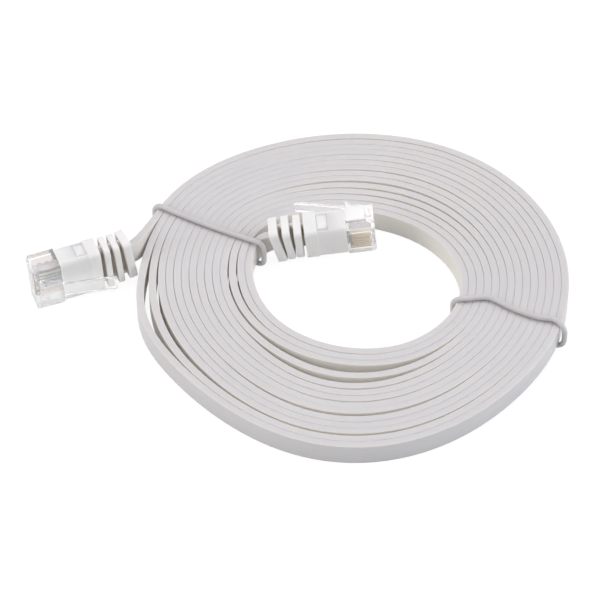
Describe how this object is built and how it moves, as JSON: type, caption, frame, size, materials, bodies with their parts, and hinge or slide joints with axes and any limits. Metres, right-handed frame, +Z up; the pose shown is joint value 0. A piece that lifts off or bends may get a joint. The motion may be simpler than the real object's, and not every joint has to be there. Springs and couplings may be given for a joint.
{
  "type": "ethernet patch cable",
  "caption": "Flat white network patch cable wound on edge into a ring held by wire ties, with clear modular plugs, sprung latches and ribbed strain-relief boots.",
  "frame": {"origin": "on the ground under the middle of the whole object's bounding box", "axes": "+Z up; the coil lies in the XY plane with its hole's axis along +Z; -X towards the outer plug (a); -Y towards the side that its latch faces"},
  "size_m": [0.13, 0.1062, 0.0156],
  "materials": {
    "jacket": "smooth satin PVC",
    "clear_plastic": "clear polycarbonate",
    "boot": "moulded soft PVC",
    "gold": "gold plated",
    "tie_coating": "thin plastic coating",
    "tie_wire": "drawn wire",
    "wire_white_orange": "insulation",
    "wire_orange": "insulation",
    "wire_white_green": "insulation",
    "wire_blue": "insulation",
    "wire_white_blue": "insulation",
    "wire_green": "insulation",
    "wire_white_brown": "insulation",
    "wire_brown": "insulation"
  },
  "bodies": {
    "cable": {"cable_coil": "jacket", "cable_lead_a": "jacket", "plug_housing_a": "clear_plastic", "boot_a": "boot", "cable_end_a": "jacket", "tie_a": "tie_coating", "tie_core_a": "tie_wire", "contact_a_1": "gold", "contact_a_2": "gold", "contact_a_3": "gold", "contact_a_4": "gold", "contact_a_5": "gold", "contact_a_6": "gold", "contact_a_7": "gold", "contact_a_8": "gold", "conductor_a_1": "wire_white_orange", "conductor_a_2": "wire_orange", "conductor_a_3": "wire_white_green", "conductor_a_4": "wire_blue", "conductor_a_5": "wire_white_blue", "conductor_a_6": "wire_green", "conductor_a_7": "wire_white_brown", "conductor_a_8": "wire_brown", "cable_lead_b": "jacket", "plug_housing_b": "clear_plastic", "boot_b": "boot", "cable_end_b": "jacket", "tie_b": "tie_coating", "tie_core_b": "tie_wire", "contact_b_1": "gold", "contact_b_2": "gold", "contact_b_3": "gold", "contact_b_4": "gold", "contact_b_5": "gold", "contact_b_6": "gold", "contact_b_7": "gold", "contact_b_8": "gold", "conductor_b_1": "wire_white_orange", "conductor_b_2": "wire_orange", "conductor_b_3": "wire_white_green", "conductor_b_4": "wire_blue", "conductor_b_5": "wire_white_blue", "conductor_b_6": "wire_green", "conductor_b_7": "wire_white_brown", "conductor_b_8": "wire_brown"},
    "latch_a": {"latch_a": "clear_plastic"},
    "latch_b": {"latch_b": "clear_plastic"}
  },
  "joints": [
    {"name": "latch_a_press", "type": "hinge", "parent": "cable", "child": "latch_a", "pos_m": [-0.06078, -0.00397, 0.00628], "axis": [-0.0624, 0.0325, 0.9975], "range_deg": [0, 11], "stiffness_Nm_per_rad": 0.1},
    {"name": "latch_b_press", "type": "hinge", "parent": "cable", "child": "latch_b", "pos_m": [0.01691, 0.01913, 0.01022], "axis": [-0.0771, -0.3143, 0.9462], "range_deg": [0, 11], "stiffness_Nm_per_rad": 0.1}
  ]
}
